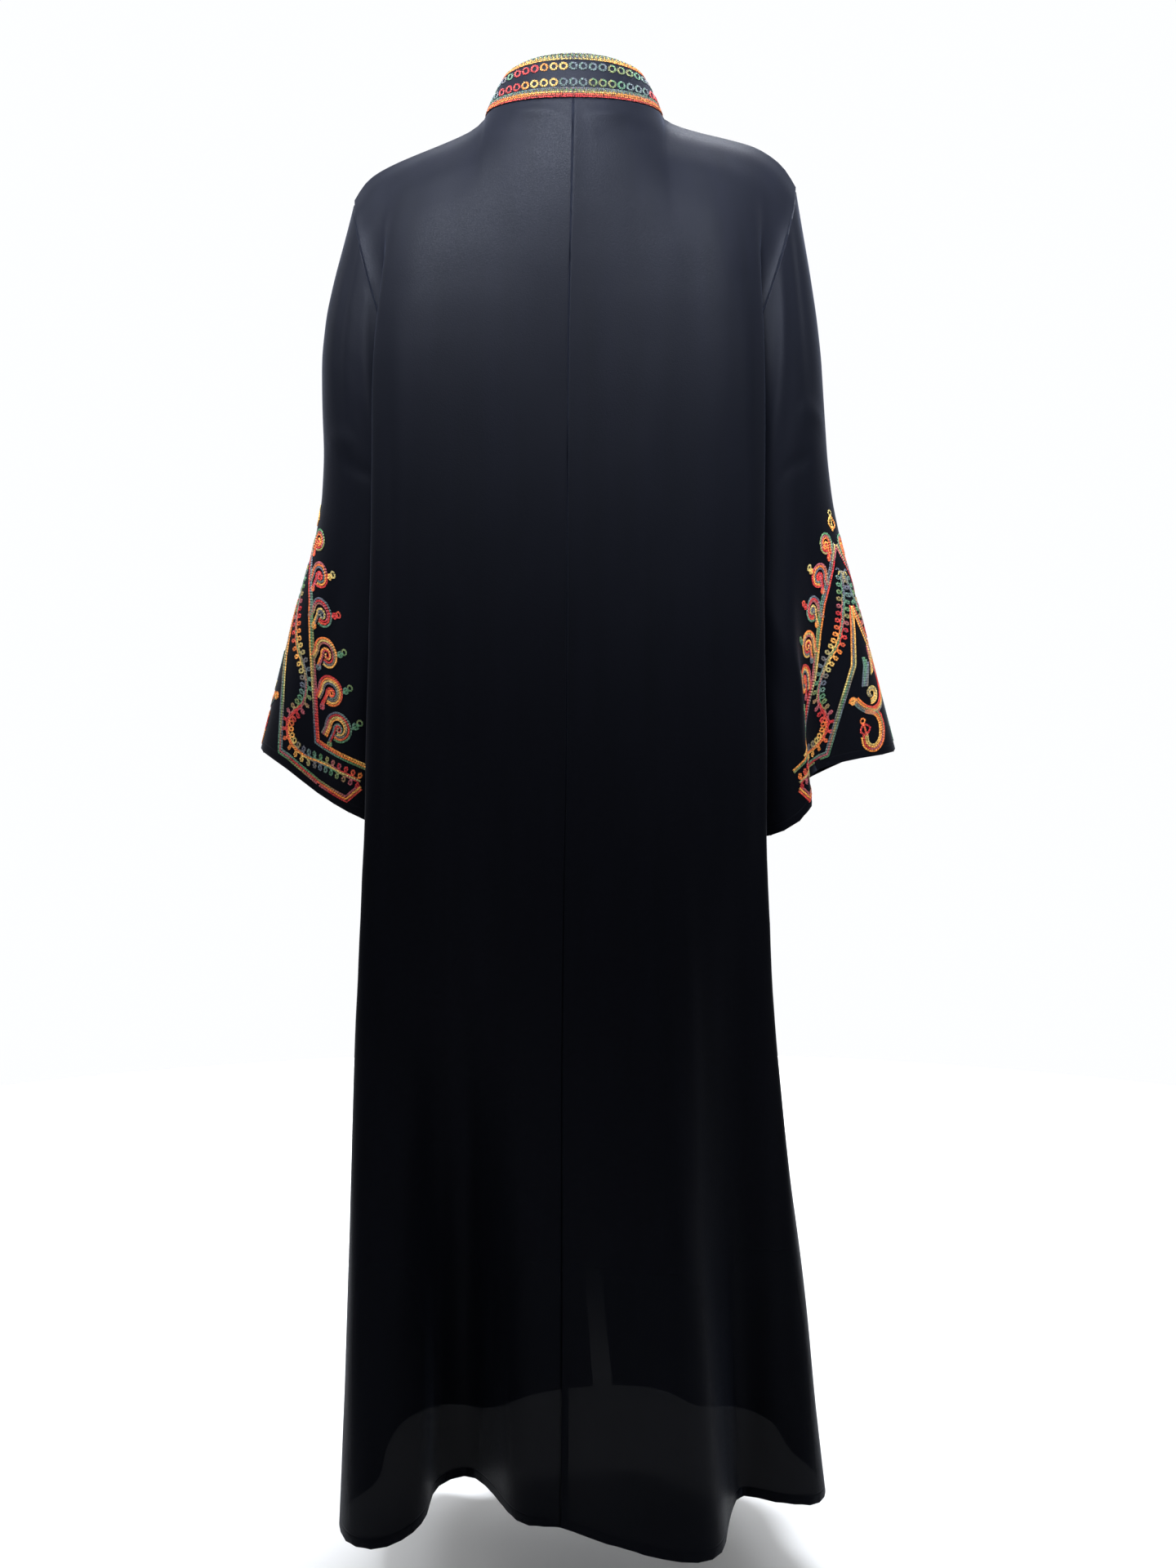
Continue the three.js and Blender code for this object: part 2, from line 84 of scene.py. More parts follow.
def add_node(owner, kind, settings=None, links=(), **sockets):
    """Adds a shader node to a material or world. A socket is named in lower case with underscores, and
    takes a value or an output. links holds (input number, value or output) for sockets with no name."""
    tree = owner.node_tree
    made = tree.nodes.new("ShaderNode" + kind)
    for key, value in (settings or {}).items():
        setattr(made, key, value)
    named = [
        (next(s for s in made.inputs if s.name.lower().replace(" ", "_") == name and s.enabled), value)
        for name, value in sockets.items()
    ]
    for socket, value in named + [(made.inputs[number], value) for number, value in links]:
        if isinstance(value, bpy.types.NodeSocket):
            tree.links.new(value, socket)
        else:
            socket.default_value = value
    return made


def new_material(name):
    material = bpy.data.materials.new(name)
    material.use_nodes = True
    material.node_tree.nodes.clear()
    return material


def finish_material(material, shader):
    add_node(material, "OutputMaterial", surface=shader.outputs[0])
    return material


# %% [markdown]
# ## The studio
# Black cloth shows its form only where light falls on it at a slant. A wide soft light high behind the
# robe's back is narrowed, as with a grid, so it brushes the shoulders and fades out down the skirt. The
# room is pale all round, and brighter beyond the robe's front, which keeps the outline clear.

# %% The lights
bpy.context.scene.view_settings.view_transform = "Standard"


def soft_light(name, place, towards, width, height, watts, spread):
    data = bpy.data.lights.new(name, "AREA")
    data.shape = "RECTANGLE"
    data.size, data.size_y = width, height
    data.energy = watts
    data.color = linear("#F4F8FF")[:3]
    data.spread = math.radians(spread)
    light = bpy.data.objects.new(name, data)
    light.location = place
    aim = Vector(towards) - Vector(place)
    light.rotation_euler = aim.to_track_quat("-Z", "Y").to_euler()
    bpy.context.scene.collection.objects.link(light)


soft_light("over_back", (0.22, 0.9, 0.7), (0.02, 0, 0.3), 1.6, 0.35, 88, 72)
soft_light("over_front", (-0.2, -1.0, 2.2), (0, -0.1, -0.4), 1.6, 0.5, 34, 100)
soft_light("left_side", (1.6, -0.3, 0.9), (0.1, 0, -0.5), 0.8, 0.8, 4, 110)
soft_light("right_side", (-1.6, -0.3, 0.9), (-0.1, 0, -0.5), 0.8, 0.8, 3, 110)

# %% The room and the floor
room = bpy.data.worlds.new("pale_studio")
room.use_nodes = True
room.node_tree.nodes.clear()
towards = add_node(room, "SeparateXYZ", vector=add_node(room, "TexCoord").outputs["Generated"])
glow = add_node(
    room,
    "MapRange",
    value=towards.outputs["Y"],
    from_min=-0.45,
    from_max=0.3,
    to_min=1.06,
    to_max=0.45,
)
air = add_node(room, "Background", color=linear("#F7F8FA"), strength=glow.outputs[0])
add_node(room, "OutputWorld", surface=air.outputs[0])
bpy.context.scene.world = room

FLOOR_RADIUS = 2.8  # m
FLOOR_HEIGHT = -1.5  # m, 9 cm below the hem
floor_paint = new_material("painted_studio_floor")
finish_material(
    floor_paint,
    add_node(floor_paint, "BsdfPrincipled", base_color=linear("#FAFAF9"), roughness=0.9),
)
bm = bmesh.new()
bmesh.ops.create_circle(bm, cap_ends=True, segments=96, radius=FLOOR_RADIUS)
bmesh.ops.translate(bm, vec=(0, 0, FLOOR_HEIGHT), verts=bm.verts)
floor_mesh = bpy.data.meshes.new("floor")
bm.to_mesh(floor_mesh)
bm.free()
floor_mesh.materials.append(floor_paint)
floor = bpy.data.objects.new("floor", floor_mesh)
bpy.context.scene.collection.objects.link(floor)

# %% [markdown]
# ## Black crepe
# Crepe is woven from hard-twisted yarns, which shrink into a fine pebbled face. It has no gloss, only a
# soft bluish bloom where light grazes the fibres. The pebbles of real crepe are about 0.5 mm across.
# They are drawn at 1.3 mm here, or they wouldn't show. Uneven yarns leave faint streaks down the piece,
# a single layer lets a little light through, but only down by the hem, where no second layer lies behind
# it, and a row of stitches pulls a small groove in each hem.

# %% The crepe material
CREPE_PEBBLE = 1.3  # mm
CREPE_STREAK = 16  # mm across, and twelve times as long
HEM_STITCH = 9  # mm from the edge
SHEER_BELOW = (-1.24, -1.14)  # m, where the cloth is sheer and where it is closed


def black_crepe(name, sheer):
    crepe = new_material(name)
    place = add_node(crepe, "TexCoord").outputs["Object"]
    pebbles = add_node(crepe, "TexNoise", vector=place, scale=1 / (CREPE_PEBBLE * MM), detail=2.0)
    drawn_out = add_node(crepe, "Mapping", vector=place, scale=(1, 1, 1 / 12))
    streaks = add_node(
        crepe, "TexNoise", vector=drawn_out.outputs[0], scale=1 / (CREPE_STREAK * MM), detail=6.0
    )
    tone = add_node(crepe, "ValToRGB", fac=streaks.outputs["Fac"])
    tone.color_ramp.elements[0].position = 0.3
    tone.color_ramp.elements[0].color = linear("#06070B")
    tone.color_ramp.elements[1].position = 0.72
    tone.color_ramp.elements[1].color = linear("#07080D")
    hem = add_node(crepe, "Attribute", {"attribute_name": "hem_mm"}).outputs["Fac"]
    off_stitch = add_node(crepe, "Math", {"operation": "SUBTRACT"}, [(0, hem), (1, HEM_STITCH)])
    near_stitch = add_node(crepe, "Math", {"operation": "ABSOLUTE"}, [(0, off_stitch.outputs[0])])
    groove = add_node(
        crepe,
        "MapRange",
        value=near_stitch.outputs[0],
        from_min=0.2,
        from_max=1.2,
        to_min=-2.5,
        to_max=0,
    )
    relief = add_node(
        crepe, "Math", {"operation": "ADD"}, [(0, pebbles.outputs["Fac"]), (1, groove.outputs[0])]
    )
    grain = add_node(crepe, "Bump", strength=0.6, distance=0.3 * MM, height=relief.outputs[0])
    yarn = add_node(
        crepe,
        "MapRange",
        value=pebbles.outputs["Fac"],
        from_min=0.3,
        from_max=0.7,
        to_min=0.44,
        to_max=0.6,
    )
    height = add_node(crepe, "SeparateXYZ", vector=place).outputs["Z"]
    low, high = SHEER_BELOW
    closed = add_node(
        crepe,
        "MapRange",
        value=height,
        from_min=low,
        from_max=high,
        to_min=1 - sheer,
        to_max=1 - sheer / 12,
    )
    cloth = add_node(
        crepe,
        "BsdfPrincipled",
        base_color=tone.outputs["Color"],
        roughness=yarn.outputs[0],
        specular_ior_level=0.03,
        sheen_weight=0.03,
        sheen_roughness=0.4,
        sheen_tint=linear("#BCCBF4"),
        specular_tint=linear("#EBF0FF"),
        alpha=closed.outputs[0],
        normal=grain.outputs["Normal"],
    )
    return finish_material(crepe, cloth)


crepe = black_crepe("black_polyester_crepe", 0.055)
band_crepe = black_crepe("interfaced_black_crepe", 0)

# %% [markdown]
# ## From a solid wall to a sheet of cloth
# Each solid is a closed wall of loose triangles. Its outer face is a regular grid of cells, each split
# by a diagonal. The outer face is cut free of the rim, and the diagonals are dissolved, so the sheet is
# made of quads that a subdivision surface can smooth.


# %% Cut the outer face free
WALL = {piece: 2.4 if piece == "collar_band" else 1.2 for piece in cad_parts}  # mm


def connected(faces):
    """Splits faces into groups that share edges."""
    loose, groups = set(faces), []
    while loose:
        group, waiting = set(), [loose.pop()]
        while waiting:
            face = waiting.pop()
            group.add(face)
            near = {f for edge in face.edges for f in edge.link_faces} & loose
            loose -= near
            waiting.extend(near)
        groups.append(group)
    return groups


def outer_face(piece):
    """The side of a wall that shows. A rim face has an edge just as long as the wall is thick."""
    bm = bmesh.new()
    for name in ("along_mm", "up_mm", "hem_mm"):
        bm.verts.layers.float.new(name)
    bm.from_mesh(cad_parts[piece].data)
    bmesh.ops.remove_doubles(bm, verts=bm.verts, dist=1e-6)
    through = {e for e in bm.edges if abs(e.calc_length() / MM - WALL[piece]) < 0.02}
    rim = [f for f in bm.faces if through & set(f.edges)]
    bmesh.ops.delete(bm, geom=rim, context="FACES")
    low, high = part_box(piece)
    middle = (Vector(low) + Vector(high)) / 2
    if not piece.startswith("sleeve"):
        middle.x = middle.y = 0
    for group in connected(bm.faces):
        flow = sum(
            f.normal.to_2d().dot((f.calc_center_median() - middle).to_2d()) * f.calc_area()
            for f in group
        )
        if flow < 0:
            bmesh.ops.delete(bm, geom=list(group), context="FACES")
    return bm


# %% Make the triangles quads
def name_edges(bm, guess):
    """Names each triangle's edges 0, 1, 2 in turn, from one rim edge. Every cell is split alike, so all
    the diagonals get the same name."""
    names = {next(e for e in bm.edges if e.is_boundary): guess}
    waiting = list(next(iter(names)).link_faces)
    done = set(waiting)
    while waiting:
        face = waiting.pop()
        edges = [loop.edge for loop in face.loops]
        start = next(i for i, e in enumerate(edges) if e in names)
        for step in (1, 2):
            names[edges[(start + step) % 3]] = (names[edges[start]] + step) % 3
        for edge in edges:
            fresh = [f for f in edge.link_faces if f not in done]
            done.update(fresh)
            waiting.extend(fresh)
    return names


def dissolve_diagonals(bm):
    """Turns the triangles into quads, and returns the edges that run down the piece."""
    best = None
    for guess in (1, 2):
        names = name_edges(bm, guess)
        diagonals = [e for e in bm.edges if names[e] == 0]
        length = sum(e.calc_length() for e in diagonals)
        if not any(e.is_boundary for e in diagonals) and (best is None or length > best[0]):
            best = (length, diagonals, names)
    _, diagonals, names = best
    groups = [[e for e in bm.edges if names[e] == kind] for kind in (1, 2)]
    upright = max(groups, key=lambda g: sum(e.calc_length() for e in g) / len(g))
    bmesh.ops.dissolve_edges(bm, edges=diagonals, use_verts=False)
    return upright


outer = {piece: outer_face(piece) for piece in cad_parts}
upright = {piece: dissolve_diagonals(bm) for piece, bm in outer.items()}
print("cells in each sheet:", {piece: len(bm.faces) for piece, bm in outer.items()})

# %% [markdown]
# ## Charts to sew by
# Embroidery is laid out on flat cloth, in millimetres along an edge and up from it. A chart walks the
# grid of a sheet column by column, and turns such a flat place into a point on the curved cloth.


# %% Walk a sheet's grid
def straight_on(vert, edge):
    beside = {f for f in edge.link_faces}
    return next((e for e in vert.link_edges if e is not edge and not beside & set(e.link_faces)), None)


def walk(vert, edge):
    """The vertices met by going straight on along the grid, until it ends or closes."""
    path = [vert]
    while edge is not None:
        vert = edge.other_vert(vert)
        if vert is path[0]:
            break
        path.append(vert)
        edge = straight_on(vert, edge)
    return path


# %% A chart of a sheet
class Chart:
    """Flat places on a sheet. Along is millimetres from the first column, or from the middle of a piece
    that isn't a tube, and up is from the edge."""

    def __init__(self, bm, first, second):
        layers = [bm.verts.layers.float[name] for name in ("along_mm", "up_mm")]
        row_edge = next(e for e in first.link_edges if e.other_vert(first) is second)
        row = walk(first, row_edge)
        self.looped = len(first.link_edges) == 3
        on_row = {frozenset((a, b)) for a, b in zip(row, row[1:] + row[:1])}
        self.columns, walked = [], []
        for vert in row:
            rise = next(e for e in vert.link_edges if frozenset(e.verts) not in on_row)
            walked.append(walk(vert, rise))
            self.columns.append([v.co.copy() for v in walked[-1]])
        if self.looped:
            self.columns.append(self.columns[0])
        self.rows = len(self.columns[0])
        self.around = [self._lengths([c[r] for c in self.columns]) for r in range(self.rows)]
        self.rises = [self._lengths(c) for c in self.columns]
        self._mark(walked, layers)

    def _mark(self, walked, layers):
        """Writes each vertex's flat place on it. Along runs both ways from the first column."""
        for i, column in enumerate(walked):
            for j, vert in enumerate(column):
                along, total = self.around[j][i], self.around[j][-1]
                vert[layers[0]] = along - total if self.looped and along > total / 2 else along
                vert[layers[1]] = self.rises[i][j]

    @staticmethod
    def _lengths(points):
        total, lengths = 0.0, [0.0]
        for a, b in zip(points, points[1:]):
            total += (b - a).length / MM
            lengths.append(total)
        return lengths

    @staticmethod
    def find(lengths, value):
        """The place in a rising list at which a value stands."""
        value = min(max(value, 0.0), lengths[-1])
        i = 0
        while i < len(lengths) - 2 and lengths[i + 1] < value:
            i += 1
        return i + (value - lengths[i]) / max(lengths[i + 1] - lengths[i], 1e-9)

    @staticmethod
    def mix(lists, place):
        """The list between two lists, at a place such as 2.5."""
        i = min(int(place), len(lists) - 2)
        t = place - i
        return [a * (1 - t) + b * t for a, b in zip(lists[i], lists[i + 1])]

    def point(self, along, up):
        row = 0.0
        for _ in range(3):
            lengths = self.mix(self.around, row)
            wanted = along % lengths[-1] if self.looped else along + lengths[-1] / 2
            column = self.find(lengths, wanted)
            row = self.find(self.mix(self.rises, column), up)
        i, j = min(int(column), len(self.columns) - 2), min(int(row), self.rows - 2)
        s, t = column - i, row - j
        low = self.columns[i][j].lerp(self.columns[i + 1][j], s)
        return low.lerp(self.columns[i][j + 1].lerp(self.columns[i + 1][j + 1], s), t)


# %% Chart the sleeves and the collar
def sleeve_chart(bm):
    """A sleeve's chart starts at the outer line of its hem and goes round towards the back."""
    rim = [v for v in bm.verts if v.is_boundary]
    middle = sum(v.co.z for v in rim) / len(rim)
    first = max((v for v in rim if v.co.z < middle), key=lambda v: abs(v.co.x))
    beside = [e.other_vert(first) for e in first.link_edges if e.is_boundary]
    return Chart(bm, first, max(beside, key=lambda v: v.co.y))


def collar_chart(bm):
    """The collar's chart runs from its right front end, along the seam, round the back to the left."""
    corners = [v for v in bm.verts if len(v.link_edges) == 2]
    low = sorted(corners, key=lambda v: v.co.z)[:2]
    first = min(low, key=lambda v: v.co.x)
    beside = [e.other_vert(first) for e in first.link_edges]
    return Chart(bm, first, min(beside, key=lambda v: abs(v.co.z - first.co.z)))


charts = {side: sleeve_chart(outer["sleeve_" + side]) for side in ("left", "right")}
collar = collar_chart(outer["collar_band"])
print("round the left cuff:", round(charts["left"].around[0][-1]), "mm")
print("round the right cuff:", round(charts["right"].around[0][-1]), "mm")
print("along the collar seam:", round(collar.around[0][-1]), "mm")

# %% [markdown]
# ## Folds and creases
# The solids hold the big folds. What makes cloth look like cloth are the small ones, and they are set
# one by one, each from one point to another with its own width and depth. A fold fades out towards its
# ends. The places are seen from behind or from in front, in millimetres: x is towards the wearer's left
# and z is up from the neck.

# %% The creases of the body
BACK_CREASES = [
    # x from, z from, x to, z to, width, depth outwards
    (150, -120, 168, -420, 20, 1.2),
    (122, -150, 116, -520, 28, -0.9),
    (176, -200, 186, -640, 12, 2.0),
    (190, -330, 196, -900, 9, -2.4),
    (84, -180, 70, -360, 26, 0.5),
    (60, -480, 92, -760, 22, 1.3),
    (150, -520, 132, -900, 20, -2.0),
    (110, -700, 96, -1180, 16, 2.2),
    (40, -860, 52, -1390, 18, -2.4),
    (128, -980, 150, -1400, 12, 3.0),
    (178, -820, 196, -1300, 13, -2.6),
    (208, -1000, 214, -1400, 9, 2.2),
    (26, -1120, 60, -1210, 7, 1.1),
    (80, -1085, 6, -1128, 6, 0.9),
    (-148, -110, -160, -400, 20, 1.0),
    (-118, -160, -108, -500, 26, -0.8),
    (-172, -190, -182, -560, 12, 2.2),
    (-84, -260, -66, -470, 26, 0.6),
    (-184, -420, -186, -880, 10, -2.2),
    (-50, -520, -84, -820, 20, 1.2),
    (-138, -560, -118, -900, 18, -1.6),
    (-108, -760, -122, -1120, 9, 1.8),
    (-66, -900, -58, -1390, 18, -2.6),
    (-96, -1060, -100, -1400, 12, 2.0),
    (-196, -840, -214, -1360, 11, -2.8),
    (-226, -1040, -236, -1400, 8, 2.4),
    (-8, -1060, -34, -1072, 5, 1.0),
    (-10, -1115, -46, -1132, 6, 1.2),
    (-8, -24, -60, -17, 6, 1.5),
    (14, -22, 66, -14, 6, 1.7),
    (-20, -44, -84, -30, 9, -1.2),
    (10, -50, 92, -26, 10, -1.3),
    (-4, -782, -32, -776, 5, 0.9),
]
FRONT_CREASES = [
    (128, -130, 118, -430, 16, 2.0),
    (92, -220, 84, -640, 20, -2.2),
    (140, -330, 132, -900, 13, 2.4),
    (60, -420, 70, -1000, 16, 1.8),
    (108, -700, 122, -1300, 14, -2.4),
    (30, -640, 36, -1390, 15, -2.0),
    (160, -860, 170, -1400, 12, 2.8),
    (76, -980, 84, -1400, 13, 2.2),
    (-124, -140, -112, -400, 18, 2.0),
    (-88, -240, -92, -700, 18, -2.0),
    (-142, -360, -136, -860, 12, 2.2),
    (-56, -460, -64, -1060, 17, 1.8),
    (-112, -740, -132, -1340, 14, -2.6),
    (-34, -700, -58, -1390, 14, -1.8),
    (-166, -900, -186, -1400, 11, 2.6),
    (-92, -1000, -104, -1400, 13, 2.0),
]

# %% [markdown]
# The sleeves' creases are set on their charts: along is round from the outer line towards the back, and
# up is from the hem.

# %% The creases of the sleeves
SLEEVE_CREASES = {
    "left": [
        # along from, up from, along to, up to, width, depth outwards
        (70, 60, 62, 330, 12, -2.2),
        (104, 300, 92, 520, 14, 2.4),
        (128, 0, 112, 240, 13, 2.0),
        (48, 360, 40, 560, 10, -1.8),
        (160, 40, 130, 380, 12, -2.4),
        (20, 330, 66, 372, 8, 1.6),
        (96, 352, 40, 330, 7, -1.3),
        (-60, 20, -50, 320, 14, 2.2),
        (-120, 0, -90, 260, 16, -2.4),
        (-150, 300, -120, 500, 12, 2.0),
        (-30, 340, -90, 380, 8, 1.5),
    ],
    "right": [
        (76, 80, 64, 360, 11, -2.0),
        (112, 290, 96, 540, 14, 2.4),
        (150, 0, 126, 300, 10, 2.4),
        (52, 380, 44, 570, 10, -1.8),
        (176, 60, 140, 420, 12, -2.2),
        (24, 350, 70, 384, 8, 1.5),
        (92, 340, 48, 322, 7, -1.2),
        (-56, 30, -48, 330, 14, 2.0),
        (-116, 0, -86, 280, 15, -2.4),
        (-146, 310, -118, 520, 12, 2.0),
        (-34, 350, -88, 386, 8, 1.4),
    ],
}


# %% How deep the creases are
def crease_depth(creases, point):
    """How far the creases push a point of the cloth outwards, in mm. point and creases share a plane."""
    depth = 0.0
    for x0, z0, x1, z1, width, height in creases:
        start, run = Vector((x0, z0)), Vector((x1 - x0, z1 - z0))
        share = (point - start).dot(run) / run.length_squared
        if 0 < share < 1:
            off = (point - start - run * share).length / width
            if off < 3:
                depth += height * math.sin(math.pi * share) ** 0.7 * math.exp(-off * off)
    return depth


# %% Smooth the sheets
DRAWN_FLAT = ((-0.42, 6), (-0.62, 3))  # m, the part above, and how many times


def ripple(point, span, height):
    """A faint unevenness in cloth, as if it had been handled. Its waves are long down the piece."""
    return height * noise.noise(Vector((point.x, point.y, point.z * 0.35)) / (span * MM))


def smooth_sheet(piece):
    """Rounds a sheet. The back hangs from the shoulders, so its upper part is drawn flat first."""
    bm = outer[piece]
    if piece.startswith("back"):
        for top, times in DRAWN_FLAT:
            flat = [v for v in bm.verts if v.co.z > top and not v.is_boundary]
            for _ in range(times):
                bmesh.ops.smooth_vert(bm, verts=flat, factor=0.5, use_axis_y=True)
    if piece[:5] in ("back_", "sleev"):
        bmesh.ops.subdivide_edges(bm, edges=upright[piece], cuts=1, use_grid_fill=True)
    mesh = bpy.data.meshes.new(piece + "_sheet")
    bm.to_mesh(mesh)
    bm.free()
    rough = bpy.data.objects.new(piece + "_rough", mesh)
    bpy.context.scene.collection.objects.link(rough)
    rounding = rough.modifiers.new("rounding", "SUBSURF")
    rounding.levels = rounding.render_levels = 2
    rounding.boundary_smooth = "PRESERVE_CORNERS"
    evaluated = rough.evaluated_get(bpy.context.evaluated_depsgraph_get())
    smooth = bpy.data.meshes.new_from_object(evaluated)
    bpy.data.objects.remove(rough)
    return smooth


# %% Press the creases in
def press_creases(piece, mesh):
    normals = [v.normal.copy() for v in mesh.vertices]
    if piece.startswith("sleeve"):
        along, up = mesh.attributes["along_mm"].data, mesh.attributes["up_mm"].data
        creases = SLEEVE_CREASES[piece[7:]]
    for i, (vert, normal) in enumerate(zip(mesh.vertices, normals)):
        depth = ripple(vert.co, 60, 0.7) + ripple(vert.co, 22, 0.25)
        if piece.startswith("sleeve"):
            depth += crease_depth(creases, Vector((along[i].value, up[i].value)))
        elif piece != "collar_band":
            creases = BACK_CREASES if piece.startswith("back") else FRONT_CREASES
            depth += crease_depth(creases, Vector((vert.co.x, vert.co.z)) / MM)
        vert.co += normal * depth * MM


sheets = {piece: smooth_sheet(piece) for piece in outer}
rest_places = {piece: [v.co.copy() for v in mesh.vertices] for piece, mesh in sheets.items()}


def search_tree(mesh):
    bm = bmesh.new()
    bm.from_mesh(mesh)
    tree = BVHTree.FromBMesh(bm)
    bm.free()
    return tree


skins = {piece: search_tree(mesh) for piece, mesh in sheets.items()}
for piece, mesh in sheets.items():
    press_creases(piece, mesh)
pressed = {piece: search_tree(mesh) for piece, mesh in sheets.items()}
print("faces in each smooth sheet:", {p: len(m.polygons) for p, m in sheets.items()})

# %% [markdown]
# ## Seams and hems
# Where two pieces are sewn, the cloth rolls in on both sides of a thin dark line, and one seam allowance
# lies under the other piece. A free edge is turned up once and stitched. Each edge of a sheet is drawn
# back a little, and then extruded along one of three such paths.

# %% Which edge goes where
ON_TOP = [
    "collar_band",
    "back_right",
    "back_left",
    "front_left",
    "front_right",
    "sleeve_left",
    "sleeve_right",
]
TURN = {
    # mm beyond the sewn line and mm inwards, step by step
    "over": [(-1.7, 0), (-0.9, 0.08), (-0.4, 0.4), (-0.2, 1.0), (-0.25, 1.6), (-0.6, 1.9)],
    "under": [(-1.7, 0), (-0.9, 0.08), (-0.4, 0.4), (-0.15, 1.2), (0.9, 2.3), (7.0, 2.6)],
    "free": [(-1.4, 0), (-0.6, 0.06), (-0.15, 0.35), (0, 0.85), (-0.4, 1.35), (-9.5, 1.7)],
}


def kind_of_edge(piece, place):
    """Over or under the piece that this edge is sewn to, with that piece, or free where there is none."""
    for other in ON_TOP:
        if other != piece and (skins[other].find_nearest(place, 2.2 * MM)[0] is not None):
            return ("over" if ON_TOP.index(piece) < ON_TOP.index(other) else "under"), other
    return "free", None


def under(other, place, seam, distance, depth):
    """A place under the other piece, so far in from the seam."""
    normal = pressed[other].find_nearest(place)[1]
    into = seam.cross(normal).normalized() * distance * MM
    ends = [pressed[other].find_nearest(place + step) + (place + step,) for step in (into, -into)]
    spot, normal, *_ = min(ends, key=lambda end: (end[0] - end[-1]).length)
    return spot - normal * depth * MM


# %% Turn the edges in
def mark_hems(bm, kinds):
    """Writes each vertex's distance from the nearest free edge on it, up to 40 mm."""
    free = [e for e in bm.edges if e.is_boundary and all(kinds[v][0] == "free" for v in e.verts)]
    points = [e.verts[0].co.lerp(e.verts[1].co, t) for e in free for t in (0, 0.25, 0.5, 0.75, 1)]
    layer = bm.verts.layers.float["hem_mm"]
    tree = KDTree(len(points))
    for i, point in enumerate(points):
        tree.insert(point, i)
    tree.balance()
    for vert in bm.verts:
        vert[layer] = min(40, tree.find(vert.co)[2] / MM) if points else 40


def turn_edges(piece, mesh):
    bm = bmesh.new()
    bm.from_mesh(mesh)
    rim = [e for e in bm.edges if e.is_boundary]
    kinds = {v: kind_of_edge(piece, rest_places[piece][v.index]) for e in rim for v in e.verts}
    mark_hems(bm, kinds)
    paths = {}
    for vert in kinds:
        beyond, seam = Vector(), Vector()
        for edge in (e for e in vert.link_edges if e.is_boundary):
            face = edge.link_faces[0]
            seam = (edge.verts[1].co - edge.verts[0].co).normalized()
            side = seam.cross(face.normal).normalized()
            beyond += side if side.dot(face.calc_center_median() - vert.co) < 0 else -side
        room = min((e.calc_length() for e in vert.link_edges if not e.is_boundary), default=9 * MM)
        paths[vert] = (vert.co.copy(), beyond.normalized(), -vert.normal, kinds[vert], room / MM, seam)
    for vert, (place, beyond, inwards, (kind, other), room, seam) in paths.items():
        vert.co = place - beyond * min(-TURN[kind][0][0], 0.4 * room) * MM
    for step in range(1, 6):
        made = bmesh.ops.extrude_edge_only(bm, edges=rim)["geom"]
        rim = [g for g in made if isinstance(g, bmesh.types.BMEdge)]
        for vert in (g for g in made if isinstance(g, bmesh.types.BMVert)):
            source = next(e.other_vert(vert) for e in vert.link_edges if e.other_vert(vert) in paths)
            paths[vert] = paths[source]
            place, beyond, inwards, (kind, other), room, seam = paths[vert]
            out, depth = TURN[kind][step]
            if step < 5:
                out = max(out, -0.3 * room)
            vert.co = place + (beyond * out + inwards * depth) * MM
            if kind == "under" and step > 3:
                vert.co = under(other, place, seam, out, depth)
    bm.faces.ensure_lookup_table()
    inner = bm.faces[0].normal.copy()
    bmesh.ops.recalc_face_normals(bm, faces=bm.faces)
    if bm.faces[0].normal.dot(inner) < 0:
        bmesh.ops.reverse_faces(bm, faces=bm.faces)
    bm.to_mesh(mesh)
    bm.free()


# %% Finish each piece of cloth
def cloth_piece(piece, material, thickness):
    """The finished cloth of one piece: its sheet with turned edges, given its thickness inwards."""
    mesh = sheets[piece]
    turn_edges(piece, mesh)
    for polygon in mesh.polygons:
        polygon.use_smooth = True
    mesh.materials.clear()
    mesh.materials.append(material)
    cloth = bpy.data.objects.new(piece + "_cloth", mesh)
    bpy.context.scene.collection.objects.link(cloth)
    wall = cloth.modifiers.new("wall", "SOLIDIFY")
    wall.thickness = thickness * MM
    wall.offset = -1
    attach(cloth, "root")
    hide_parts(piece)
    return cloth


cloths = {p: cloth_piece(p, crepe, 0.7) for p in sheets if p != "collar_band"}
cloths["collar_band"] = cloth_piece("collar_band", band_crepe, 1.6)
print("cloth triangles:", {p: 4 * len(c.data.polygons) for p, c in cloths.items()})

# %% [markdown]
# ## Variegated thread
# The thread is mercerised cotton dyed in lengths, so one row runs from red through orange and gold to
# slate and green. Each stitch knows how far along the thread it lies, and the dyes repeat along that.
# Mercerised cotton has a soft silky shine, and its plies catch light and shade in flecks. All the dyes
# are also darkened as painted shade, the collar's thread to a quarter and the cuffs' a little.

# %% The thread material
DYES = {
    "red": ("#B3262F", 0.0),
    "coral": ("#CB463C", 0.12),
    "orange": ("#DE7C35", 0.22),
    "gold": ("#E0A552", 0.33),
    "straw": ("#C2B069", 0.42),
    "umber": ("#6F675C", 0.5),
    "slate": ("#5A5D6E", 0.58),
    "sage": ("#5E7C6C", 0.68),
    "green": ("#4D8058", 0.77),
    "olive": ("#8B8350", 0.86),
    "rose": ("#A3525A", 0.94),
}
DYE_REPEAT = 300  # mm of thread
FLECK = 1.5  # mm


